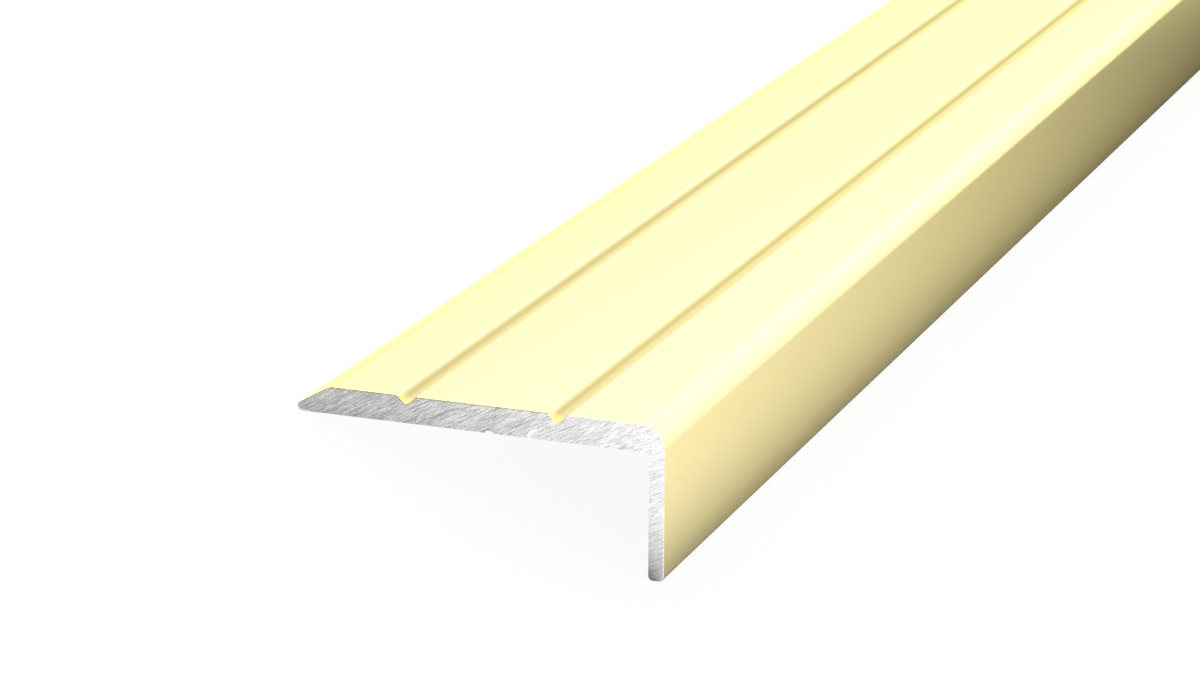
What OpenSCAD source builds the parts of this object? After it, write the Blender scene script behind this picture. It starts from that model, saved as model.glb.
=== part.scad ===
// Step-edge angle profile: one aluminium extrusion, sawn square at both ends.
// A wide tread leg with a bevelled back edge and two V grooves turns down, over a
// rounded nose, into a short and thin front leg.
// The bar lies along Y. It is drawn as it comes to rest on a level floor, on the tip
// of its tread leg and on the foot of its front leg, with the nose towards +X.

/* [Bar] */
// Length of the bar
bar_length = 1000; // [100:50:2700]
// Width across the tread, from the back tip to the front face
tread_width = 24.5; // [23:0.5:40]
// Height of the front, from the tread surface to the foot
front_height = 10; // [6:0.5:30]
// Thickness of the tread leg
tread_thickness = 1.75; // [1.5:0.05:2.5]
// Thickness of the front leg
front_thickness = 1; // [0.8:0.05:2.5]

/* [Edges] */
// Outer radius of the nose
nose_radius = 1.5; // [0.5:0.1:1.6]
// Fillet in the corner between the legs
inner_fillet = 0.2; // [0.1:0.05:0.5]
// Radius of the back tip and of the foot's two corners
edge_radius = 0.3; // [0.1:0.05:0.35]
// Slope of the bevel on the back edge, in degrees from the tread surface
bevel_angle = 30; // [30:1:50]
// Radius that blends the bevel into the tread surface
bevel_blend = 1; // [0.2:0.1:2]

/* [Grooves] */
// Distance from the back tip to the middle of the first groove
groove_start = 7.4; // [6:0.1:8]
// Distance between the middles of neighbouring grooves
groove_pitch = 10.1; // [3:0.1:10.5]
// Number of grooves
groove_count = 2; // [1, 2]
// Depth of a groove's rounded root below the tread surface
groove_depth = 0.53; // [0.3:0.01:0.7]
// Angle between a groove's two walls
groove_angle = 90; // [75:5:110]
// Radius in the root of a groove
groove_root = 0.3; // [0.1:0.05:0.4]
// Radius on the lips of a groove
groove_lip = 0.2; // [0.1:0.05:0.3]

/* [Hidden] */

// Most degrees of turn between two neighbouring points of a rounded corner
arc_step = 7.5;

// Where the bevel, carried on without its rounded tip, would meet the underside
bevel_foot = -tread_width + edge_radius - edge_radius / tan(bevel_angle / 2);
// Where the bevel meets the tread surface
bevel_top = bevel_foot + tread_thickness / tan(bevel_angle);

// Depth of the sharp V whose rounded root lies at groove_depth, and half its width
groove_sharp = groove_depth + groove_root * (1 / sin(groove_angle / 2) - 1);
groove_half = groove_sharp * tan(groove_angle / 2);

// The tip and the foot's inner corner have the same radius, so the bar that rests on
// both is turned by the slope of the line between the centres of their arcs
rest_tilt = atan((front_height - tread_thickness) / (tread_width - front_thickness));
tip_centre = turned([-tread_width + edge_radius, -tread_thickness + edge_radius]);
toe_centre = turned([-edge_radius, -front_height + edge_radius]);
rest_middle = (tip_centre.x + toe_centre.x) / 2;
rest_floor = tip_centre.y - edge_radius;

// The point after the turn into the resting position
function turned(point) = [
    point.x * cos(rest_tilt) - point.y * sin(rest_tilt),
    point.x * sin(rest_tilt) + point.y * cos(rest_tilt)
];

function unit(v) = v / norm(v);

// Points of the arc that rounds the corner at b, on the way from a to c
function rounded(a, b, c, radius) =
    let (
        back = unit(a - b),
        ahead = unit(c - b),
        half = acos(back * ahead) / 2,
        centre = b + unit(back + ahead) * radius / sin(half),
        start = b + back * radius / tan(half) - centre,
        turn = (180 - 2 * half) * sign(cross(b - a, c - b)),
        steps = ceil(abs(turn) / arc_step)
    )
    [for (i = [0:steps])
        let (t = turn * i / steps)
        centre + [start.x * cos(t) - start.y * sin(t), start.x * sin(t) + start.y * cos(t)]
    ];

// Outline through corners given as [x, y, radius], each one rounded
function outline(corners) =
    let (n = len(corners), at = [for (k = corners) [k.x, k.y]])
    [for (i = [0:n - 1]) each rounded(at[(i + n - 1) % n], at[i], at[(i + 1) % n], corners[i].z)];

// Corners of one groove, from its front lip to its back lip
function groove_corners(middle) = [
    [middle + groove_half, 0, groove_lip],
    [middle, -groove_sharp, groove_root],
    [middle - groove_half, 0, groove_lip]
];

// Corners of the section, with the tread surface on y = 0 and the front face on x = 0
function section_corners() = [
    [bevel_foot, -tread_thickness, edge_radius],
    [-front_thickness, -tread_thickness, inner_fillet],
    [-front_thickness, -front_height, edge_radius],
    [0, -front_height, edge_radius],
    [0, 0, nose_radius],
    for (i = [groove_count - 1:-1:0])
        each groove_corners(-tread_width + groove_start + i * groove_pitch),
    [bevel_top, 0, bevel_blend]
];

// The section turned into its resting position and set on the floor line
module resting_section() {
    translate([-rest_middle, -rest_floor])
        rotate(rest_tilt)
            polygon(outline(section_corners()));
}

module angle_profile() {
    color([0.95, 0.90, 0.68])
        rotate([90, 0, 0])
            linear_extrude(height = bar_length, center = true)
                resting_section();
}

angle_profile();
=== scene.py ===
"""Looks of a step-edge angle profile: a pale gold anodised aluminium extrusion with bare sawn ends."""

import logging
import math
from dataclasses import dataclass
from enum import Enum

import bpy
from mathutils import Matrix, Vector


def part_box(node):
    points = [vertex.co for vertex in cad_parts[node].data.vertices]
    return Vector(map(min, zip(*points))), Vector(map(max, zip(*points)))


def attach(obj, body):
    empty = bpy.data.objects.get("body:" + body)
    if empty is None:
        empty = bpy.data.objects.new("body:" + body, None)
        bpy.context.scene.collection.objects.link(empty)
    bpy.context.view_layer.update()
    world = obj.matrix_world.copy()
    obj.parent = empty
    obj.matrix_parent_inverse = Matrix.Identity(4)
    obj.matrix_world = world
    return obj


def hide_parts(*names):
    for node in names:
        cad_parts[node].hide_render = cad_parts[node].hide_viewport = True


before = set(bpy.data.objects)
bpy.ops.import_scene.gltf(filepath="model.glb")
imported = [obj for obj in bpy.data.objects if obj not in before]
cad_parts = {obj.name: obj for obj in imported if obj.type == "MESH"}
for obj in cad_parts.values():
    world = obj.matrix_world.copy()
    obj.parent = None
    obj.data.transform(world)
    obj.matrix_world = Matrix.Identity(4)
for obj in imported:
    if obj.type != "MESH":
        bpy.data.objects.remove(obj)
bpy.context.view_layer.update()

LOG = logging.getLogger("angle_profile")
MM = 0.001
NODE = "angle_profile"
BODY = "root"
WHITE = (1.0, 1.0, 1.0, 1.0)

Colour = tuple[float, float, float, float]
Pair = tuple[float, float]
Pairs = tuple[Pair, ...]
Socket = bpy.types.NodeSocket


@dataclass(frozen=True)
class Corner:
    """A corner of the section before it is rounded.

    Args:
        x: Place across the tread, from the front face at 0.
        z: Height, from the tread surface at 0.
        radius: Radius that rounds the corner.
    """

    x: float
    z: float
    radius: float

    @property
    def at(self) -> Vector:
        """The corner's place in the section's plane."""
        return Vector((self.x, self.z))


@dataclass(frozen=True)
class Arc:
    """The arc that rounds one corner.

    Args:
        start: Where the arc leaves the first side.
        centre: Middle of the arc's circle.
        turn: Angle swept from start, positive from +x towards +z, in radians.
    """

    start: Vector
    centre: Vector
    turn: float


@dataclass(frozen=True)
class Groove:
    """A lengthwise V groove in the tread surface.

    Args:
        depth: Depth of the rounded root below the tread surface.
        wall_angle: Angle between the two walls, in radians.
        root_radius: Radius in the root.
        lip_radius: Radius on both lips.
    """

    depth: float = 0.53 * MM
    wall_angle: float = math.radians(90)
    root_radius: float = 0.3 * MM
    lip_radius: float = 0.2 * MM

    def corners(self, middle: float) -> list[Corner]:
        """The groove's corners, from its front lip to its back lip.

        Args:
            middle: Place of the groove's middle across the tread.

        Returns:
            The front lip, the root and the back lip.
        """
        sharp = self.depth + self.root_radius * (1 / math.sin(self.wall_angle / 2) - 1)
        half = sharp * math.tan(self.wall_angle / 2)
        return [
            Corner(middle + half, 0.0, self.lip_radius),
            Corner(middle, -sharp, self.root_radius),
            Corner(middle - half, 0.0, self.lip_radius),
        ]


@dataclass(frozen=True)
class Section:
    """The bar's section, with the tread surface at height 0 and the front face at place 0.

    Args:
        tread_width: Width across the tread, from the back tip to the front face.
        front_height: Height of the front, from the tread surface to the foot.
        tread_thickness: Thickness of the tread leg.
        front_thickness: Thickness of the front leg.
        nose_radius: Outer radius of the nose.
        inner_fillet: Fillet in the corner between the legs.
        edge_radius: Radius of the back tip and of the foot's two corners.
        bevel_angle: Slope of the bevel on the back edge, in radians.
        bevel_blend: Radius that blends the bevel into the tread surface.
        groove_start: Distance from the back tip to the middle of the first groove.
        groove_pitch: Distance between the middles of neighbouring grooves.
        groove_count: Number of grooves.
        groove: One groove's shape.
    """

    tread_width: float = 24.5 * MM
    front_height: float = 10.0 * MM
    tread_thickness: float = 1.75 * MM
    front_thickness: float = 1.0 * MM
    nose_radius: float = 1.5 * MM
    inner_fillet: float = 0.2 * MM
    edge_radius: float = 0.3 * MM
    bevel_angle: float = math.radians(30)
    bevel_blend: float = 1.0 * MM
    groove_start: float = 7.4 * MM
    groove_pitch: float = 10.1 * MM
    groove_count: int = 2
    groove: Groove = Groove()

    def corners(self) -> list[Corner]:
        """The section's corners, from the back tip along the underside and back over the top.

        Returns:
            Every corner in order, each with its radius.
        """
        tip = -self.tread_width + self.edge_radius - self.edge_radius / math.tan(self.bevel_angle / 2)
        found = [
            Corner(tip, -self.tread_thickness, self.edge_radius),
            Corner(-self.front_thickness, -self.tread_thickness, self.inner_fillet),
            Corner(-self.front_thickness, -self.front_height, self.edge_radius),
            Corner(0.0, -self.front_height, self.edge_radius),
            Corner(0.0, 0.0, self.nose_radius),
        ]
        for middle in self.groove_middles():
            found += self.groove.corners(middle)
        found.append(Corner(tip + self.tread_thickness / math.tan(self.bevel_angle), 0.0, self.bevel_blend))
        return found

    def groove_middles(self) -> list[float]:
        """Places of the grooves' middles across the tread.

        Returns:
            The places, front to back.
        """
        first = self.groove_start - self.tread_width
        return [first + i * self.groove_pitch for i in reversed(range(self.groove_count))]

    def arcs(self) -> list[Arc]:
        """The arcs that round the corners, in the same order.

        Returns:
            One arc for each corner.
        """
        corners = self.corners()
        count = len(corners)
        return [
            self._arc(corners[i - 1].at, corners[i], corners[(i + 1) % count].at) for i in range(count)
        ]

    @staticmethod
    def _arc(before: Vector, corner: Corner, after: Vector) -> Arc:
        """The arc that rounds a corner.

        Args:
            before: The corner before it.
            corner: The corner.
            after: The corner after it.

        Returns:
            The arc, tangent to both sides.
        """
        back = (before - corner.at).normalized()
        ahead = (after - corner.at).normalized()
        half = back.angle(ahead) / 2
        start = corner.at + back * corner.radius / math.tan(half)
        centre = corner.at + (back + ahead).normalized() * corner.radius / math.sin(half)
        side = -back.x * ahead.y + back.y * ahead.x
        return Arc(start, centre, math.copysign(math.pi - 2 * half, side))

    @property
    def rest_tilt(self) -> float:
        """Angle that the bar turns through until its tip and its foot both touch the floor."""
        rise = self.front_height - self.tread_thickness
        return math.atan(rise / (self.tread_width - self.front_thickness))


@dataclass(frozen=True)
class Resting:
    """Place of the bar on the floor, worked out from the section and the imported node's box.

    Args:
        section: The bar's section.
        low: Lowest corner of the node's box.
        high: Highest corner of the node's box.
    """

    section: Section
    low: Vector
    high: Vector

    @property
    def matrix(self) -> Matrix:
        """The move from the upright bar, its nose corner on the sawn end at the origin.

        Returns:
            The matrix that takes it to its place.
        """
        turn = Matrix.Rotation(-self.section.rest_tilt, 4, "Y")
        radius = self.section.edge_radius
        tip = turn @ Vector((radius - self.section.tread_width, 0, radius - self.section.tread_thickness))
        toe = turn @ Vector((-radius, 0, radius - self.section.front_height))
        middle = (self.low.x + self.high.x) / 2
        shift = Vector((middle - (tip.x + toe.x) / 2, self.low.y, self.low.z + radius - tip.z))
        return Matrix.Translation(shift) @ turn


class Graph:
    """Places the nodes of one shader tree and wires them."""

    def __init__(self, tree: bpy.types.NodeTree) -> None:
        """Starts on an empty tree.

        Args:
            tree: The tree to build.
        """
        self.tree = tree
        self.tree.nodes.clear()

    def add(self, kind: str, inputs: dict | None = None, **settings: object) -> bpy.types.Node:
        """Places a node.

        Args:
            kind: The node's type.
            inputs: Value or output for each named or numbered input.
            **settings: The node's own properties.

        Returns:
            The node.
        """
        node = self.tree.nodes.new(kind)
        for name, value in settings.items():
            setattr(node, name, value)
        for key, value in (inputs or {}).items():
            if isinstance(value, Socket):
                self.tree.links.new(value, node.inputs[key])
            else:
                node.inputs[key].default_value = value
        return node

    def math(self, operation: str, first: float | Socket, second: float | Socket = 0.0) -> Socket:
        """Places a Math node.

        Args:
            operation: What it does.
            first: First value or output.
            second: Second value or output.

        Returns:
            The node's output.
        """
        return self.add("ShaderNodeMath", {0: first, 1: second}, operation=operation).outputs[0]

    def remap(self, value: Socket, low: float, high: float, to_low: float, to_high: float) -> Socket:
        """Places a Map Range node.

        Args:
            value: The output to map.
            low: Start of its range.
            high: End of its range.
            to_low: What the start becomes.
            to_high: What the end becomes.

        Returns:
            The mapped value, held inside its new range.
        """
        inputs = {0: value, 1: low, 2: high, 3: to_low, 4: to_high}
        return self.add("ShaderNodeMapRange", inputs).outputs[0]

    def between(self, share: Socket, first: float | Socket, second: float | Socket) -> Socket:
        """Places a Mix node for numbers.

        Args:
            share: How much of the second number it takes.
            first: First value or output.
            second: Second value or output.

        Returns:
            The mixed number.
        """
        return self.add("ShaderNodeMix", {0: share, 2: first, 3: second}).outputs[0]

    def blend(self, share: Socket, first: Colour | Socket, second: Colour | Socket) -> Socket:
        """Places a Mix node for colours.

        Args:
            share: How much of the second colour it takes.
            first: First colour or output.
            second: Second colour or output.

        Returns:
            The mixed colour.
        """
        return self.add("ShaderNodeMix", {0: share, 6: first, 7: second}, data_type="RGBA").outputs[2]


class PatternGroup:
    """A shader node group that turns a place on the bar into a pattern between 0 and 1."""

    def __init__(self, name: str, numbers: tuple[str, ...] = ()) -> None:
        """Builds the group's sockets and its nodes.

        Args:
            name: Name of the group.
            numbers: Name of each number it takes.
        """
        self.tree = bpy.data.node_groups.new(name, "ShaderNodeTree")
        face = self.tree.interface
        face.new_socket("Place", in_out="INPUT", socket_type="NodeSocketVector")
        for number in numbers:
            face.new_socket(number, in_out="INPUT", socket_type="NodeSocketFloat")
        face.new_socket("Pattern", in_out="OUTPUT", socket_type="NodeSocketFloat")
        graph = Graph(self.tree)
        start = graph.add("NodeGroupInput")
        end = graph.add("NodeGroupOutput")
        self.tree.links.new(self.pattern(graph, start), end.inputs["Pattern"])

    def pattern(self, graph: Graph, start: bpy.types.Node) -> Socket:
        """Builds the pattern's nodes.

        Args:
            graph: The group's tree.
            start: Its input node.

        Returns:
            The pattern.
        """
        raise NotImplementedError

    def use(self, graph: Graph, place: Socket, **values: float) -> Socket:
        """Places the group in a material.

        Args:
            graph: The material's tree.
            place: The place on the bar.
            **values: Its numbers, by name.

        Returns:
            The pattern.
        """
        node = graph.add("ShaderNodeGroup", node_tree=self.tree)
        graph.tree.links.new(place, node.inputs["Place"])
        for name, value in values.items():
            node.inputs[name].default_value = value
        return node.outputs["Pattern"]


class DieLines(PatternGroup):
    """Fine lines that the extrusion die draws along the bar."""

    def __init__(self) -> None:
        """Builds the group."""
        super().__init__("die_lines", ("Spacing", "Run"))

    def pattern(self, graph: Graph, start: bpy.types.Node) -> Socket:
        """Builds noise drawn out along the bar.

        Args:
            graph: The group's tree.
            start: Its input node.

        Returns:
            The pattern.
        """
        at = graph.add("ShaderNodeSeparateXYZ", {0: start.outputs["Place"]})
        across = graph.math("DIVIDE", at.outputs["X"], start.outputs["Spacing"])
        along = graph.math("DIVIDE", at.outputs["Y"], start.outputs["Run"])
        upward = graph.math("DIVIDE", at.outputs["Z"], start.outputs["Spacing"])
        where = graph.add("ShaderNodeCombineXYZ", {0: across, 1: along, 2: upward})
        inputs = {"Vector": where.outputs[0], "Scale": 1.0, "Detail": 3.0, "Roughness": 0.6}
        return graph.add("ShaderNodeTexNoise", inputs).outputs[0]


class SawMarks(PatternGroup):
    """Marks that the round saw blade leaves across a cut end."""

    def __init__(self, centre: Vector) -> None:
        """Builds the group.

        Args:
            centre: Middle of the blade, in the row frame.
        """
        self.centre = centre
        super().__init__("saw_marks", ("Spacing", "Run"))

    def pattern(self, graph: Graph, start: bpy.types.Node) -> Socket:
        """Builds noise drawn out round the blade's middle.

        Args:
            graph: The group's tree.
            start: Its input node.

        Returns:
            The pattern.
        """
        centre = graph.add("ShaderNodeCombineXYZ", {0: self.centre.x, 1: 0.0, 2: self.centre.z})
        flat = graph.add(
            "ShaderNodeVectorMath", {0: start.outputs["Place"], 1: (1.0, 0.0, 1.0)}, operation="MULTIPLY"
        )
        arm = graph.add(
            "ShaderNodeVectorMath", {0: flat.outputs[0], 1: centre.outputs[0]}, operation="SUBTRACT"
        )
        reach = graph.add("ShaderNodeVectorMath", {0: arm.outputs[0]}, operation="LENGTH").outputs["Value"]
        at = graph.add("ShaderNodeSeparateXYZ", {0: arm.outputs[0]})
        angle = graph.math("ARCTAN2", at.outputs["Z"], at.outputs["X"])
        arc = graph.math("MULTIPLY", angle, reach)
        across = graph.math("DIVIDE", reach, start.outputs["Spacing"])
        along = graph.math("DIVIDE", arc, start.outputs["Run"])
        where = graph.add("ShaderNodeCombineXYZ", {0: across, 1: along, 2: 0.0})
        inputs = {"Vector": where.outputs[0], "Scale": 1.0, "Detail": 2.0, "Roughness": 0.55}
        return graph.add("ShaderNodeTexNoise", inputs).outputs[0]


class GroovePaintedShade(PatternGroup):
    """Painted shade inside the grooves, which changes from their back lips to their front lips."""

    # Half the width that a groove's painted shade covers
    REACH = 0.9 * MM
    # Heights between which the painted shade fades out, just under the tread surface
    RIM = (-0.02 * MM, -0.004 * MM)
    # Heights between which it fades out below the roots
    BELOW_ROOTS = (-0.8 * MM, -0.7 * MM)
    # Places from a groove's middle towards the front, in millimetres, and the strength of the painted shade
    # at each
    BACK_WALLS = (
        (-0.68, 0.0), (-0.6, 0.3), (-0.53, 0.65), (-0.46, 0.87), (-0.4, 1.0),
        (-0.3, 0.97), (-0.24, 0.75), (-0.19, 0.4), (-0.13, 0.1), (-0.06, 0.0),
    )
    ROOTS = (
        (-0.3, 0.0), (-0.22, 0.5), (-0.14, 0.95), (-0.04, 0.95), (0.2, 0.75), (0.5, 0.4), (0.88, 0.0),
    )

    def __init__(self, name: str, section: Section, resting: Resting, tones: Pairs) -> None:
        """Builds the group.

        Args:
            name: Name of the group.
            section: The bar's section.
            resting: The bar's place.
            tones: Places across a groove, in millimetres from its middle, and the strength of the painted
                shade at each.
        """
        self.section = section
        self.resting = resting
        self.tones = tones
        super().__init__(name)

    def pattern(self, graph: Graph, start: bpy.types.Node) -> Socket:
        """Builds a band of painted shade along each groove, by the distance from its middle.

        Args:
            graph: The group's tree.
            start: Its input node.

        Returns:
            The pattern.
        """
        upright = graph.add(
            "ShaderNodeMapping",
            {
                "Vector": start.outputs["Place"],
                "Location": tuple(self.resting.matrix.translation),
                "Rotation": (0.0, -self.section.rest_tilt, 0.0),
            },
            vector_type="TEXTURE",
        )
        at = graph.add("ShaderNodeSeparateXYZ", {0: upright.outputs[0]})
        below = graph.remap(at.outputs["Z"], *self.RIM, 1.0, 0.0)
        top_side = graph.remap(at.outputs["Z"], *self.BELOW_ROOTS, 0.0, 1.0)
        inside = graph.math("MULTIPLY", below, top_side)
        bands = [self._band(graph, at.outputs["X"], middle) for middle in self.section.groove_middles()]
        total = bands[0]
        for band in bands[1:]:
            total = graph.math("ADD", total, band)
        return graph.math("MULTIPLY", total, inside)

    def _band(self, graph: Graph, across: Socket, middle: float) -> Socket:
        """Builds the band of painted shade in one groove.

        Args:
            graph: The group's tree.
            across: Place across the tread.
            middle: Place of the groove's middle.

        Returns:
            The band's strength.
        """
        share = graph.remap(across, middle - self.REACH, middle + self.REACH, 0.0, 1.0)
        ramp = graph.add("ShaderNodeValToRGB", {0: share})
        stops = ramp.color_ramp.elements
        for _ in self.tones[2:]:
            stops.new(0.5)
        for stop, (place, tone) in zip(stops, self.tones):
            stop.position = (place * MM + self.REACH) / (2 * self.REACH)
            stop.color = (tone, tone, tone, 1.0)
        return graph.add("ShaderNodeRGBToBW", {0: ramp.outputs[0]}).outputs[0]


class NearEnd(PatternGroup):
    """Band beside each sawn end of the bar."""

    def __init__(self, length: float) -> None:
        """Builds the group.

        Args:
            length: The bar's length.
        """
        self.length = length
        super().__init__("near_end", ("From", "Width"))

    def pattern(self, graph: Graph, start: bpy.types.Node) -> Socket:
        """Builds a fade from the nearer end inwards.

        Args:
            graph: The group's tree.
            start: Its input node.

        Returns:
            The pattern, 1 at the end and 0 farther in.
        """
        at = graph.add("ShaderNodeSeparateXYZ", {0: start.outputs["Place"]})
        inward = graph.math("SUBTRACT", self.length / 2, graph.math("ABSOLUTE", at.outputs["Y"]))
        past = graph.math("SUBTRACT", inward, start.outputs["From"])
        share = graph.math("DIVIDE", past, start.outputs["Width"])
        return graph.remap(share, 0.0, 1.0, 1.0, 0.0)


@dataclass(frozen=True)
class AnodisedSkin:
    """Satin anodised surface in pale gold, with painted shade in its grooves.

    Args:
        colour: Colour of the film over the metal.
        deep_colour: The film's colour in the bottoms of the die lines.
        root_painted_shade: Painted shade in the roots of the grooves: a darker colour there in place of the
            film's.
        groove_painted_shade: Painted shade on the back walls of the grooves: a darker colour there in place
            of the film's.
        groove_far_painted_shade: That painted shade on the back walls, far from the sawn ends.
        groove_end_painted_shade: Lighter painted shade in the grooves, right beside the sawn ends.
        edge_tint: What a grazing view through the film keeps of each colour.
        roughness: Mean roughness.
        groove_roughness: Roughness in the grooves.
        spread: How far the roughness moves with the fine die lines.
        spread_range: Strengths of the fine die lines at which it has moved all the way.
        line_height: Height of the fine die lines.
        line_strength: How strongly they show.
        fine_lines: Spacing and length of the fine die lines.
        broad_lines: Spacing and length of the broad die lines.
        end_band: Where the band right beside the sawn ends starts, in which the grooves' painted shade is
            lighter, and its width.
        far_band: Where the fade to the far painted shade in the grooves starts, from the sawn ends, and its
            width.
    """

    colour: Colour = (0.92, 0.795, 0.56, 1.0)
    deep_colour: Colour = (0.91, 0.785, 0.55, 1.0)
    # The next four colours are painted shade in the grooves, not the film's own colour
    root_painted_shade: Colour = (0.58, 0.512, 0.345, 1.0)
    groove_painted_shade: Colour = (0.54, 0.47, 0.235, 1.0)
    groove_far_painted_shade: Colour = (0.46, 0.395, 0.23, 1.0)
    groove_end_painted_shade: Colour = (0.88, 0.79, 0.3, 1.0)
    edge_tint: Colour = (1.0, 0.97, 0.47, 1.0)
    roughness: float = 0.25
    groove_roughness: float = 0.4
    spread: float = 0.012
    spread_range: Pair = (0.3, 0.7)
    line_height: float = 0.0006 * MM
    line_strength: float = 0.12
    fine_lines: Pair = (0.12 * MM, 40.0 * MM)
    broad_lines: Pair = (1.1 * MM, 300.0 * MM)
    end_band: Pair = (0.1 * MM, 1.3 * MM)
    far_band: Pair = (10.0 * MM, 90.0 * MM)

    def material(
        self, lines: DieLines, back_walls: GroovePaintedShade, roots: GroovePaintedShade, near_end: NearEnd
    ) -> bpy.types.Material:
        """Builds the material.

        Args:
            lines: The die lines' group.
            back_walls: The group of the painted shade on the grooves' back walls.
            roots: The group of the painted shade in the grooves' roots.
            near_end: The group of the band beside the ends.

        Returns:
            The material.
        """
        made = bpy.data.materials.new("pale_gold_anodised")
        made.use_nodes = True
        graph = Graph(made.node_tree)
        place = graph.add("ShaderNodeTexCoord").outputs["Object"]
        fine = lines.use(graph, place, Spacing=self.fine_lines[0], Run=self.fine_lines[1])
        broad = lines.use(graph, place, Spacing=self.broad_lines[0], Run=self.broad_lines[1])
        beside = near_end.use(graph, place, From=self.end_band[0], Width=self.end_band[1])
        along = near_end.use(graph, place, From=self.far_band[0], Width=self.far_band[1])
        back_wall = back_walls.use(graph, place)
        root = roots.use(graph, place)
        film = graph.blend(broad, self.deep_colour, self.colour)
        # Painted shade: darker colours on the grooves' back walls and in their roots, darker far from the
        # sawn ends and lighter right beside them
        distant_groove_painted_shade = graph.blend(along, self.groove_far_painted_shade, self.groove_painted_shade)
        wall_painted_shade = graph.blend(beside, distant_groove_painted_shade, self.groove_end_painted_shade)
        bottom_painted_shade = graph.blend(beside, self.root_painted_shade, self.groove_end_painted_shade)
        film_with_root_painted_shade = graph.blend(root, film, bottom_painted_shade)
        film_with_groove_painted_shade = graph.blend(back_wall, film_with_root_painted_shade, wall_painted_shade)
        either = graph.math("MAXIMUM", back_wall, root)
        even = graph.remap(either, 0.0, 1.0, self.roughness, self.groove_roughness)
        sway = graph.remap(fine, *self.spread_range, -self.spread, self.spread)
        rough = graph.math("ADD", even, sway)
        relief = {"Height": fine, "Strength": self.line_strength, "Distance": self.line_height}
        bump = graph.add("ShaderNodeBump", relief)
        shader = graph.add(
            "ShaderNodeBsdfPrincipled",
            {
                "Base Color": film_with_groove_painted_shade,
                "Metallic": 1.0,
                "Roughness": rough,
                "Specular Tint": self.edge_tint,
                "Normal": bump.outputs[0],
            },
        )
        graph.add("ShaderNodeOutputMaterial", {0: shader.outputs[0]})
        return made


@dataclass(frozen=True)
class SawnMetal:
    """Bare aluminium as the saw leaves it.

    Args:
        name: Name of the material.
        colour: Colour of the cut metal.
        dark: Colour in the deepest saw marks.
        roughness: Mean roughness.
        spread: How far the roughness moves with the fine marks.
        spread_range: Strengths of the fine marks at which it has moved all the way.
        mark_depth: Depth of the marks.
        mark_relief: How strongly that depth shows.
        grain: Size of the fine grain.
        fine: Spacing and length of the fine marks.
        broad: Spacing and length of the broad marks.
        lone: Spacing and length of the lone scratches.
        shares: Shares of the fine marks, the broad marks and the grain in the surface's height.
        tone_range: Heights that show the dark and the full colour.
        lone_range: Strengths of the lone scratches' pattern that are a scratch and no scratch.
        lone_tone: What a lone scratch keeps of the colour.
        strong: Strength of the marks towards the back tip.
        weak: Strength of the marks at the nose.
        fade_from: Place across the row where the marks begin to weaken.
        fade_to: Place across the row where they have weakened.
    """

    name: str = "sawn_aluminium"
    colour: Colour = (0.96, 0.96, 0.96, 1.0)
    dark: Colour = (0.4, 0.4, 0.4, 1.0)
    roughness: float = 0.36
    spread: float = 0.06
    spread_range: Pair = (0.3, 0.7)
    mark_depth: float = 0.0012 * MM
    mark_relief: float = 0.5
    grain: float = 0.08 * MM
    fine: Pair = (0.1 * MM, 0.6 * MM)
    broad: Pair = (0.07 * MM, 4.0 * MM)
    lone: Pair = (0.06 * MM, 3.5 * MM)
    shares: tuple[float, float, float] = (0.35, 0.25, 0.4)
    tone_range: Pair = (0.37, 0.57)
    lone_range: Pair = (0.37, 0.44)
    lone_tone: float = 0.1
    strong: float = 1.15
    weak: float = 0.7
    fade_from: float = -5.0 * MM
    fade_to: float = 12.0 * MM

    def material(self, marks: SawMarks) -> bpy.types.Material:
        """Builds the material.

        Args:
            marks: The saw marks' group.

        Returns:
            The material.
        """
        made = bpy.data.materials.new(self.name)
        made.use_nodes = True
        graph = Graph(made.node_tree)
        place = graph.add("ShaderNodeTexCoord").outputs["Object"]
        at = graph.add("ShaderNodeSeparateXYZ", {0: place})
        strength = graph.remap(at.outputs["X"], self.fade_from, self.fade_to, self.strong, self.weak)
        fine = marks.use(graph, place, Spacing=self.fine[0], Run=self.fine[1])
        broad = marks.use(graph, place, Spacing=self.broad[0], Run=self.broad[1])
        lone = marks.use(graph, place, Spacing=self.lone[0], Run=self.lone[1])
        speckle = {"Vector": place, "Scale": 1 / self.grain, "Detail": 1.0}
        grain = graph.add("ShaderNodeTexNoise", speckle).outputs[0]
        patterns = zip((fine, broad, grain), self.shares)
        parts = [graph.math("MULTIPLY", pattern, share) for pattern, share in patterns]
        height = graph.math("ADD", graph.math("ADD", parts[0], parts[1]), parts[2])
        tone = graph.remap(height, *self.tone_range, 0.0, 1.0)
        scratch = graph.remap(lone, *self.lone_range, self.lone_tone, 1.0)
        worn = graph.math("SUBTRACT", 1.0, graph.math("MULTIPLY", tone, scratch))
        shade = graph.math("SUBTRACT", 1.0, graph.math("MULTIPLY", worn, strength))
        rough = graph.remap(
            fine, *self.spread_range, self.roughness + self.spread, self.roughness - self.spread
        )
        rise = graph.math("MULTIPLY", strength, self.mark_relief)
        relief = {"Height": height, "Strength": rise, "Distance": self.mark_depth}
        bump = graph.add("ShaderNodeBump", relief)
        shader = graph.add(
            "ShaderNodeBsdfPrincipled",
            {
                "Base Color": graph.blend(shade, self.dark, self.colour),
                "Metallic": 1.0,
                "Roughness": rough,
                "Normal": bump.outputs[0],
            },
        )
        graph.add("ShaderNodeOutputMaterial", {0: shader.outputs[0]})
        return made


class Finish(Enum):
    """Material slots of the bar's mesh."""

    SKIN = 0
    SAWN = 1
    # Dark grey of painted shade on the broken edge near the back tip
    BURRED = 2
    CHIPPED = 3


def in_mm(*points: Pair) -> Pairs:
    """Turns points in millimetres into points in metres."""
    return tuple((x * MM, z * MM) for x, z in points)


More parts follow.
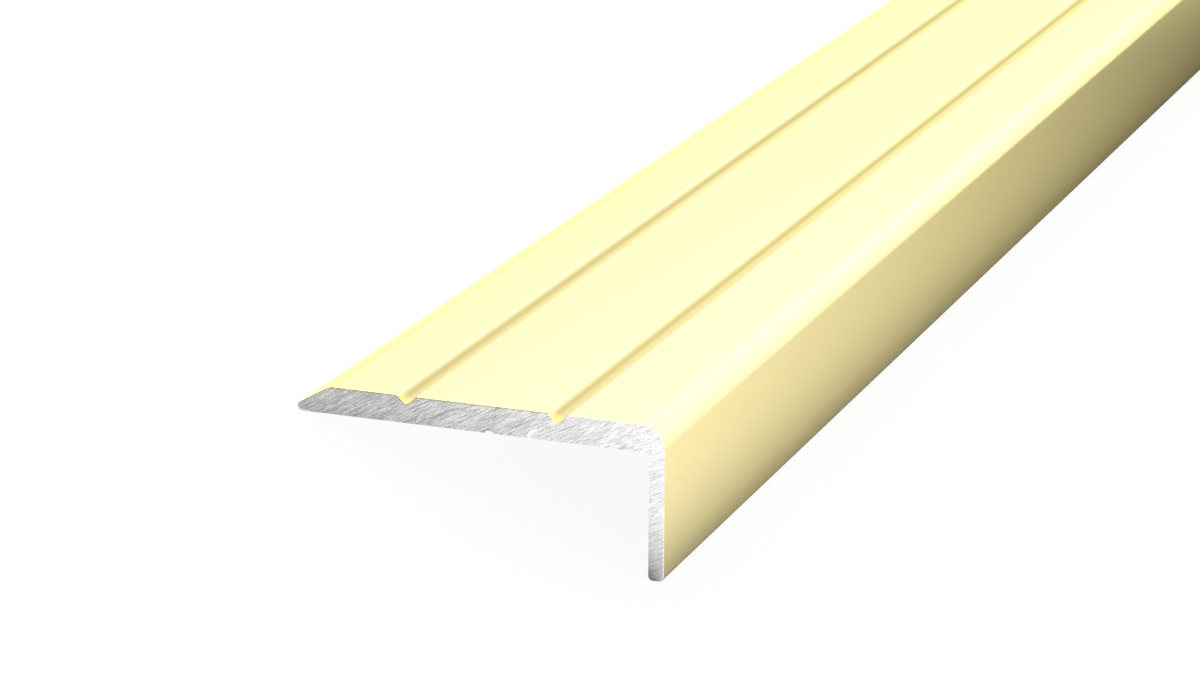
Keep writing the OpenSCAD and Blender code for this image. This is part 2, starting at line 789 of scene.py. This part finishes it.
def start_outline() -> None:
    """Adds a mesh of one vertex at the origin, selected and in edit mode, to draw an outline from."""
    bpy.ops.object.select_all(action="DESELECT")
    bpy.ops.mesh.primitive_plane_add(size=MM)
    bpy.ops.object.mode_set(mode="EDIT")
    bpy.ops.mesh.select_mode(type="VERT")
    bpy.ops.mesh.select_all(action="SELECT")
    bpy.ops.mesh.merge(type="CENTER")


@dataclass(frozen=True)
class Chip:
    """A small chip out of the sawn end's lower edge.

    Args:
        outline: Places across the tread and heights of its mouth's corners, on the sawn end.
        depth: How far it runs into the bar.
        taper: Size of its far end, where its mouth is 1.
        tilt: How far its far end leans back at the top, in radians.
        lead: How far its cutting shape begins ahead of the sawn end.
        lean: How far it shifts across and upwards for each unit of depth.
    """

    outline: Pairs
    depth: float
    taper: float
    tilt: float = 0.0
    lead: float = 0.02 * MM
    lean: Pair = (-0.375, -0.323)

    @property
    def middle(self) -> Vector:
        """Middle of its mouth's corners.

        Returns:
            Its place on the upright bar.
        """
        count = len(self.outline)
        across = sum(x for x, _ in self.outline) / count
        height = sum(z for _, z in self.outline) / count
        return Vector((across, 0.0, height))

    @property
    def reach(self) -> float:
        """Farthest that any part of it lies from the middle of its mouth."""
        return self.depth + max((Vector((x, 0.0, z)) - self.middle).length for x, z in self.outline)

    def mesh(self) -> bpy.types.Object:
        """Models the solid that the chip takes out of the bar.

        Returns:
            The solid's object.
        """
        start_outline()
        here = Vector((0.0, 0.0, 0.0))
        for i, (x, z) in enumerate(self.outline):
            there = Vector((x, -self.lead, z))
            if i == 0:
                bpy.ops.transform.translate(value=there - here)
            else:
                bpy.ops.mesh.extrude_vertices_move(TRANSFORM_OT_translate={"value": there - here})
            here = there
        bpy.ops.mesh.select_all(action="SELECT")
        bpy.ops.mesh.edge_face_add()
        run = Vector((self.lean[0], 1.0, self.lean[1])) * (self.depth + self.lead)
        bpy.ops.mesh.extrude_region_move(TRANSFORM_OT_translate={"value": run})
        far = self.middle + run
        bpy.ops.transform.resize(value=(self.taper,) * 3, center_override=far)
        bpy.ops.transform.rotate(value=self.tilt, orient_axis="X", center_override=far)
        bpy.ops.mesh.select_all(action="SELECT")
        bpy.ops.mesh.normals_make_consistent(inside=False)
        bpy.ops.object.mode_set(mode="OBJECT")
        return bpy.context.object


CHIPS = (
    Chip(
        outline=in_mm(
            (-11.86, -1.88), (-11.82, -1.71), (-11.76, -1.62), (-11.53, -1.58),
            (-11.34, -1.62), (-11.19, -1.7), (-11.03, -1.85),
        ),
        depth=0.5 * MM,
        taper=0.9,
    ),
    Chip(
        outline=in_mm(
            (-8.96, -1.94), (-9.0, -1.73), (-9.04, -1.58), (-8.96, -1.46), (-8.84, -1.35),
            (-8.73, -1.22), (-8.54, -1.16), (-8.4, -1.08), (-8.26, -1.09), (-8.38, -1.21),
            (-8.48, -1.32), (-8.61, -1.44), (-8.71, -1.56), (-8.72, -1.69), (-8.61, -1.91),
        ),
        depth=0.2 * MM,
        taper=0.85,
        tilt=math.radians(22),
    ),
)


@dataclass
class AngleBar:
    """The extruded bar, drawn from its section and cut square at both ends.

    Args:
        section: Its section.
        resting: Its place on the floor.
        length: Its length.
        arc_step: Most turn between two points of an arc, in radians.
        smooth_angle: Most turn between two faces that are shaded as one, in radians.
        deburr: Width of the fine broken edge along the outside of each end.
        burred_to: Place across the tread where the back part of that edge, which is painted dark as a line
            of shade, ends.
        on_front: How close to the front face's plane an edge of the end lies on that face.
        drawn_below: A face whose normal points lengthwise by less than this share is drawn.
        square_from: A face whose normal points lengthwise by at least this share is cut square.
        blade: Middle of the saw blade, across the tread and in height.
        skin: Finish of the drawn faces.
        sawn: Finish of the two ends.
        burr_painted_shade: Finish of that back part of the ends' broken edges: a dark grey that paints a
            thin line of shade along them.
        chipped: Finish inside the chips.
        chips: The chips out of the near end's lower edge.
    """

    section: Section
    resting: Resting
    length: float
    arc_step: float = math.radians(3)
    smooth_angle: float = math.radians(20)
    deburr: float = 0.04 * MM
    burred_to: float = -7.5 * MM
    on_front: float = 0.01 * MM
    drawn_below: float = 0.3
    square_from: float = 0.95
    blade: Pair = (125.0 * MM, -265.0 * MM)
    skin: AnodisedSkin = AnodisedSkin()
    sawn: SawnMetal = SawnMetal()
    # Painted shade: this dark grey on the broken edge paints a thin dark line along it
    burr_painted_shade: SawnMetal = SawnMetal(
        name="burred_edge_painted_shade", colour=(0.34, 0.34, 0.32, 1.0), dark=(0.17, 0.17, 0.16, 1.0), roughness=0.5
    )
    chipped: SawnMetal = SawnMetal(
        name="chipped_metal",
        colour=WHITE,
        dark=(0.85, 0.85, 0.85, 1.0),
        roughness=0.3,
        strong=0.2,
        weak=0.2,
    )
    chips: tuple[Chip, ...] = CHIPS

    def build(self) -> bpy.types.Object:
        """Models and dresses the bar in its place.

        Returns:
            The bar's object, at the origin, with its place in its mesh.
        """
        piece = self.mesh()
        self.dress(piece)
        return piece

    def mesh(self) -> bpy.types.Object:
        """Models the bar and lays it down.

        Returns:
            The bar's object.
        """
        self._draw_section()
        self._extrude()
        self._break_end_edges()
        for chip in self.chips:
            self._cut(chip)
        piece = bpy.context.object
        piece.name = piece.data.name = "anodised_bar"
        piece.matrix_world = self.resting.matrix
        bpy.ops.object.transform_apply(location=True, rotation=True, scale=True)
        bpy.ops.object.shade_smooth_by_angle(angle=self.smooth_angle)
        bpy.ops.object.modifier_add(type="WEIGHTED_NORMAL")
        piece.modifiers[-1].keep_sharp = True
        bpy.ops.object.modifier_apply(modifier=piece.modifiers[-1].name)
        return piece

    def dress(self, piece: bpy.types.Object) -> None:
        """Gives the drawn faces, the sawn ends, their broken edges and the chips their finishes.

        Args:
            piece: The bar.
        """
        x, z = self.blade
        marks = SawMarks(self.resting.matrix @ Vector((x, 0.0, z)))
        # Masks of the painted shade on the grooves' back walls and in their roots
        back_walls = GroovePaintedShade("groove_back_wall_painted_shade", self.section, self.resting, GroovePaintedShade.BACK_WALLS)
        roots = GroovePaintedShade("groove_root_painted_shade", self.section, self.resting, GroovePaintedShade.ROOTS)
        skin = self.skin.material(DieLines(), back_walls, roots, NearEnd(self.length))
        piece.data.materials.append(skin)
        for metal in (self.sawn, self.burr_painted_shade, self.chipped):
            piece.data.materials.append(metal.material(marks))
        upright = self.resting.matrix.inverted()
        for face in piece.data.polygons:
            corners = [upright @ piece.data.vertices[i].co for i in face.vertices]
            face.material_index = self._finish(face, corners).value

    def _finish(self, face: bpy.types.MeshPolygon, corners: list[Vector]) -> Finish:
        """Finds a face's finish.

        Args:
            face: The face.
            corners: Its corners on the upright bar.

        Returns:
            Its finish.
        """
        for chip in self.chips:
            if all((corner - chip.middle).length < chip.reach for corner in corners):
                return Finish.CHIPPED
        lengthwise = abs(face.normal.y)
        if lengthwise < self.drawn_below:
            return Finish.SKIN
        # The broken edge near the back tip takes the dark grey of painted shade
        burr_painted_shade = lengthwise < self.square_from and corners[0].x < self.burred_to
        return Finish.BURRED if burr_painted_shade else Finish.SAWN

    def _draw_section(self) -> None:
        """Draws the closed outline of the sawn end, side by side and arc by arc."""
        start_outline()
        here = Vector((0.0, 0.0))
        for i, arc in enumerate(self.section.arcs()):
            step = arc.start - here
            if i == 0:
                bpy.ops.transform.translate(value=(step.x, 0.0, step.y))
            else:
                bpy.ops.mesh.extrude_vertices_move(TRANSFORM_OT_translate={"value": (step.x, 0.0, step.y)})
            bpy.ops.mesh.spin(
                steps=math.ceil(abs(arc.turn) / self.arc_step),
                angle=arc.turn,
                center=(arc.centre.x, 0.0, arc.centre.y),
                axis=(0.0, 1.0, 0.0),
            )
            here = arc.centre + Matrix.Rotation(arc.turn, 2) @ (arc.start - arc.centre)
        bpy.ops.object.mode_set(mode="OBJECT")

    def _extrude(self) -> None:
        """Closes the outline, fills it and draws it out to the bar's length."""
        bpy.ops.object.mode_set(mode="EDIT")
        bpy.ops.mesh.select_all(action="SELECT")
        bpy.ops.mesh.edge_face_add()
        bpy.ops.mesh.extrude_region_move(TRANSFORM_OT_translate={"value": (0.0, self.length, 0.0)})
        bpy.ops.mesh.select_all(action="SELECT")
        bpy.ops.mesh.normals_make_consistent(inside=False)
        bpy.ops.object.mode_set(mode="OBJECT")

    def _break_end_edges(self) -> None:
        """Takes the sharpness off both ends' outer edges, on the back of the tread and down the front."""
        bpy.ops.object.mode_set(mode="EDIT")
        bpy.ops.mesh.select_mode(type="EDGE")
        bpy.ops.mesh.select_all(action="DESELECT")
        bpy.ops.mesh.select_face_by_sides(number=4, type="GREATER", extend=False)
        bpy.ops.mesh.region_to_loop()
        bpy.ops.object.mode_set(mode="OBJECT")
        mesh = bpy.context.object.data
        tip = self.section.edge_radius - self.section.tread_thickness
        for edge in mesh.edges:
            places = [mesh.vertices[i].co for i in edge.vertices]
            back = all(place.x < self.burred_to and place.z > tip for place in places)
            front = all(place.x > -self.on_front for place in places)
            edge.select = edge.select and (back or front)
        bpy.ops.object.mode_set(mode="EDIT")
        bpy.ops.mesh.bevel(offset=self.deburr, segments=1, affect="EDGES")
        bpy.ops.object.mode_set(mode="OBJECT")

    def _cut(self, chip: Chip) -> None:
        """Cuts a chip out of the bar.

        Args:
            chip: The chip.
        """
        bar = bpy.context.object
        cutter = chip.mesh()
        bpy.ops.object.select_all(action="DESELECT")
        bpy.context.view_layer.objects.active = bar
        bar.select_set(True)
        bpy.ops.object.modifier_add(type="BOOLEAN")
        cut = bar.modifiers[-1]
        cut.operation = "DIFFERENCE"
        cut.solver = "EXACT"
        cut.object = cutter
        bpy.ops.object.modifier_apply(modifier=cut.name)
        bpy.data.objects.remove(cutter)


@dataclass(frozen=True)
class SoftLamp:
    """A soft rectangular lamp that faces the sawn end of the bar.

    Args:
        name: Its name.
        bearing: Where it stands, in radians from +Y towards +X as seen from the sawn end.
        height_angle: How high it stands, in radians above the floor.
        distance: How far it stands from the sawn end.
        width: Its width.
        height: Its height.
        radiance: How bright its face is, where 1 is white.
        lean: How far it turns about its own facing direction, in radians.
    """

    name: str
    bearing: float
    height_angle: float
    distance: float
    width: float
    height: float
    radiance: float
    lean: float = 0.0

    def build(self, target: Vector) -> None:
        """Makes the lamp.

        Args:
            target: The place that it faces.
        """
        level = math.cos(self.height_angle)
        away = Vector(
            (
                level * math.sin(self.bearing),
                level * math.cos(self.bearing),
                math.sin(self.height_angle),
            )
        )
        data = bpy.data.lights.new(self.name, "AREA")
        data.shape = "RECTANGLE"
        data.size = self.width
        data.size_y = self.height
        data.energy = math.pi * self.width * self.height * self.radiance
        lamp = bpy.data.objects.new(self.name, data)
        bpy.context.scene.collection.objects.link(lamp)
        lamp.location = target + away * self.distance
        facing = (-away).to_track_quat("-Z", "Y").to_matrix()
        lamp.rotation_euler = (facing @ Matrix.Rotation(self.lean, 3, "Z")).to_euler()


LAMPS = (
    SoftLamp(
        name="back_softbox", bearing=math.radians(-21), height_angle=math.radians(19), distance=1.6,
        width=1.4, height=0.62, radiance=0.98, lean=math.radians(24),
    ),
    SoftLamp(
        name="corner_softbox", bearing=math.radians(1), height_angle=math.radians(26), distance=1.6,
        width=0.55, height=0.36, radiance=0.45,
    ),
    SoftLamp(
        name="right_softbox", bearing=math.radians(15), height_angle=math.radians(15), distance=1.6,
        width=0.8, height=0.7, radiance=0.54,
    ),
    SoftLamp(
        name="overhead_softbox", bearing=math.radians(-60), height_angle=math.radians(65), distance=1.5,
        width=0.9, height=0.9, radiance=3.0,
    ),
)


@dataclass
class Studio:
    """White surroundings, a pale floor that glows for metal with a painted reflection, and soft lamps.

    Args:
        end: Middle of the bar's sawn end, on the floor.
        floor_size: Side of the floor.
        floor_tone: Shade of the floor.
        white_share: How much of the floor shows plain white to the camera; the rest keeps the shadow.
        contact_reach: How far the painted shadow close to the bar reaches.
        contact_samples: How many rays find that painted shadow.
        contact_full: Share of open sky at which that painted shadow is full.
        contact_power: How strongly the painted brightness darkens in that painted shadow.
        tip_contact: Share of that painted shadow ahead of the back tip.
        card_near: Painted brightness that the floor glows with beside the front, at the sawn end, as metal
            mirrors it.
        card_far: Its brightness beside the front, far from the sawn end.
        card_back: Its brightness beside the back tip.
        card_left: Its brightness ahead of the bar's back tip.
        card_right: Its brightness ahead of the bar's nose.
        fade_start: How far behind the sawn end the card begins to darken beside the bar.
        fade_end: How far behind the sawn end it stops darkening.
        card_beyond: Its brightness farther out beside the front.
        beyond_start: How far from the bar's middle it begins to brighten to that.
        beyond_end: How far from the bar's middle it has brightened to that.
        side_fade: Half the width over which it changes from the back tip's side to the nose's.
        front_fade: How far ahead of the sawn end it begins to change to what lies beside the bar.
        ambient: Strength of the surroundings as a light on matt surfaces.
    """

    end: Vector
    floor_size: float = 60.0
    floor_tone: float = 0.86
    white_share: float = 0.93
    contact_reach: float = 0.04
    contact_samples: int = 8
    contact_full: float = 0.5
    contact_power: float = 2.0
    tip_contact: float = 0.55
    card_near: float = 1.66
    card_far: float = 0.3
    card_back: float = 1.25
    card_left: float = 0.85
    card_right: float = 1.73
    fade_start: float = 0.0
    fade_end: float = 0.17
    card_beyond: float = 1.8
    beyond_start: float = 0.042
    beyond_end: float = 0.068
    side_fade: float = 0.014
    front_fade: float = 0.5 * MM
    ambient: float = 0.9

    def build(self) -> None:
        """Makes the floor, the surroundings and the lamps."""
        self._floor()
        self._world()
        for lamp in LAMPS:
            lamp.build(self.end)

    def _floor(self) -> None:
        """Makes the floor, which shows white to the camera and keeps the bar's shadow, and shows metal a
        painted reflection with a painted shadow.
        """
        bpy.ops.object.select_all(action="DESELECT")
        bpy.ops.mesh.primitive_plane_add(size=self.floor_size)
        floor = bpy.context.object
        floor.name = "floor"
        made = bpy.data.materials.new("pale_floor")
        made.use_nodes = True
        graph = Graph(made.node_tree)
        path = graph.add("ShaderNodeLightPath")
        seen = graph.math("MAXIMUM", path.outputs["Is Camera Ray"], path.outputs["Is Transmission Ray"])
        share = graph.math("MULTIPLY", seen, self.white_share)
        tone = (self.floor_tone, self.floor_tone, self.floor_tone, 1.0)
        matt = graph.add("ShaderNodeBsdfDiffuse", {"Color": tone})
        white = graph.add("ShaderNodeEmission", {"Color": WHITE, "Strength": 1.0})
        # Painted reflection: metal sees the floor glow with this painted brightness, in place of its lit
        # colour
        painted_card = graph.add("ShaderNodeEmission", {"Strength": self._painted_card(graph)})
        seen_floor = graph.add("ShaderNodeMixShader", {0: share, 1: matt.outputs[0], 2: white.outputs[0]})
        both = graph.add(
            "ShaderNodeMixShader",
            {0: path.outputs["Is Glossy Ray"], 1: seen_floor.outputs[0], 2: painted_card.outputs[0]},
        )
        graph.add("ShaderNodeOutputMaterial", {0: both.outputs[0]})
        floor.data.materials.append(made)

    def _painted_card(self, graph: Graph) -> Socket:
        """Builds the painted brightness that the floor glows with where metal mirrors it.

        Args:
            graph: The floor's tree.

        Returns:
            The painted brightness: plain beside the back tip, falling along the front and brighter farther
                out,
            rising towards the nose ahead of the sawn end, and darker close to the bar as a painted shadow.
        """
        place = graph.add("ShaderNodeTexCoord").outputs["Object"]
        at = graph.add("ShaderNodeSeparateXYZ", {0: place})
        side, along = at.outputs["X"], at.outputs["Y"]
        right = graph.remap(side, -self.side_fade, self.side_fade, 0.0, 1.0)
        front = graph.remap(along, self.end.y - self.front_fade, self.end.y, 1.0, 0.0)
        start, end = self.end.y + self.fade_start, self.end.y + self.fade_end
        falling = graph.remap(along, start, end, self.card_near, self.card_far)
        beyond = graph.remap(side, self.beyond_start, self.beyond_end, 0.0, self.card_beyond)
        beside = graph.between(right, self.card_back, graph.math("MAXIMUM", falling, beyond))
        ahead = graph.remap(side, -self.side_fade, self.side_fade, self.card_left, self.card_right)
        level = graph.between(front, beside, ahead)
        # Painted shadow close to the bar, from how much open sky the floor sees
        sky_inputs = {"Distance": self.contact_reach}
        sky = graph.add("ShaderNodeAmbientOcclusion", sky_inputs, samples=self.contact_samples)
        open_share = graph.remap(sky.outputs["AO"], self.contact_full, 1.0, 0.0, 1.0)
        painted_contact_shadow = graph.math("POWER", open_share, self.contact_power)
        share = graph.remap(side, -self.side_fade, 0.0, self.tip_contact, 1.0)
        near = graph.math("MAXIMUM", right, graph.math("MULTIPLY", front, share))
        return graph.math("MULTIPLY", level, graph.between(near, 1.0, painted_contact_shadow))

    def _world(self) -> None:
        """Makes surroundings that are white where they are seen and plain elsewhere."""
        world = bpy.data.worlds.new("studio_surroundings")
        bpy.context.scene.world = world
        world.use_nodes = True
        graph = Graph(world.node_tree)
        path = graph.add("ShaderNodeLightPath")
        seen = graph.math("MAXIMUM", path.outputs["Is Camera Ray"], path.outputs["Is Glossy Ray"])
        seen = graph.math("MAXIMUM", seen, path.outputs["Is Transmission Ray"])
        strength = graph.remap(seen, 0.0, 1.0, self.ambient, 1.0)
        light = graph.add("ShaderNodeBackground", {"Color": WHITE, "Strength": strength})
        graph.add("ShaderNodeOutputWorld", {0: light.outputs[0]})


@dataclass(frozen=True)
class PhotoCamera:
    """The photograph's camera, set from the upright bar's nose corner on its sawn end.

    Args:
        lens: Focal length, in millimetres.
        frame_width: Width of its frame, in millimetres.
        yaw: How far it looks towards -X from +Y, in radians.
        pitch: How far it looks down, in radians.
        roll: How far it leans to its right, in radians.
        right: How far the nose corner lies right of the view axis.
        above: How far the nose corner lies above the view axis.
        ahead: How far the nose corner lies ahead of the camera.
        sees_from: Nearest distance that it shows.
        sees_to: Farthest distance that it shows.
    """

    lens: float = 124.135
    frame_width: float = 36.0
    yaw: float = math.radians(20.563)
    pitch: float = math.radians(16.815)
    roll: float = math.radians(0.252)
    right: float = 3.938 * MM
    above: float = -5.463 * MM
    ahead: float = 251.347 * MM
    sees_from: float = 0.01
    sees_to: float = 100.0

    def build(self, resting: Resting) -> None:
        """Makes the camera and gives it to the scene.

        Args:
            resting: The bar's place, which the camera turns with.
        """
        forward = Vector(
            (
                -math.sin(self.yaw) * math.cos(self.pitch),
                math.cos(self.yaw) * math.cos(self.pitch),
                -math.sin(self.pitch),
            )
        )
        level = forward.cross(Vector((0.0, 0.0, 1.0))).normalized()
        raised = level.cross(forward)
        right = level * math.cos(self.roll) + raised * math.sin(self.roll)
        up = raised * math.cos(self.roll) - level * math.sin(self.roll)
        upright = Matrix((right, up, -forward)).transposed().to_4x4()
        upright.translation = -(right * self.right + up * self.above + forward * self.ahead)
        data = bpy.data.cameras.new("photo_camera")
        data.lens = self.lens
        data.sensor_width = self.frame_width
        data.clip_start = self.sees_from
        data.clip_end = self.sees_to
        camera = bpy.data.objects.new("photo_camera", data)
        bpy.context.scene.collection.objects.link(camera)
        camera.matrix_world = resting.matrix @ upright
        bpy.context.scene.camera = camera


def main() -> None:
    """Builds the camera, the bar and its studio."""
    logging.basicConfig(level=logging.INFO, format="%(name)s: %(message)s")
    bpy.context.scene.view_settings.view_transform = "Standard"
    section = Section()
    low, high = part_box(NODE)
    resting = Resting(section, low, high)
    PhotoCamera().build(resting)
    bar = AngleBar(section, resting, high.y - low.y).build()
    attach(bar, BODY)
    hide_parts(NODE)
    LOG.info("%s: %d faces, %d finishes", bar.name, len(bar.data.polygons), len(bar.data.materials))
    Studio(Vector(((low.x + high.x) / 2, low.y, low.z))).build()
    LOG.info("studio: a floor and %d lamps", len(LAMPS))


if __name__ == "__main__":
    main()
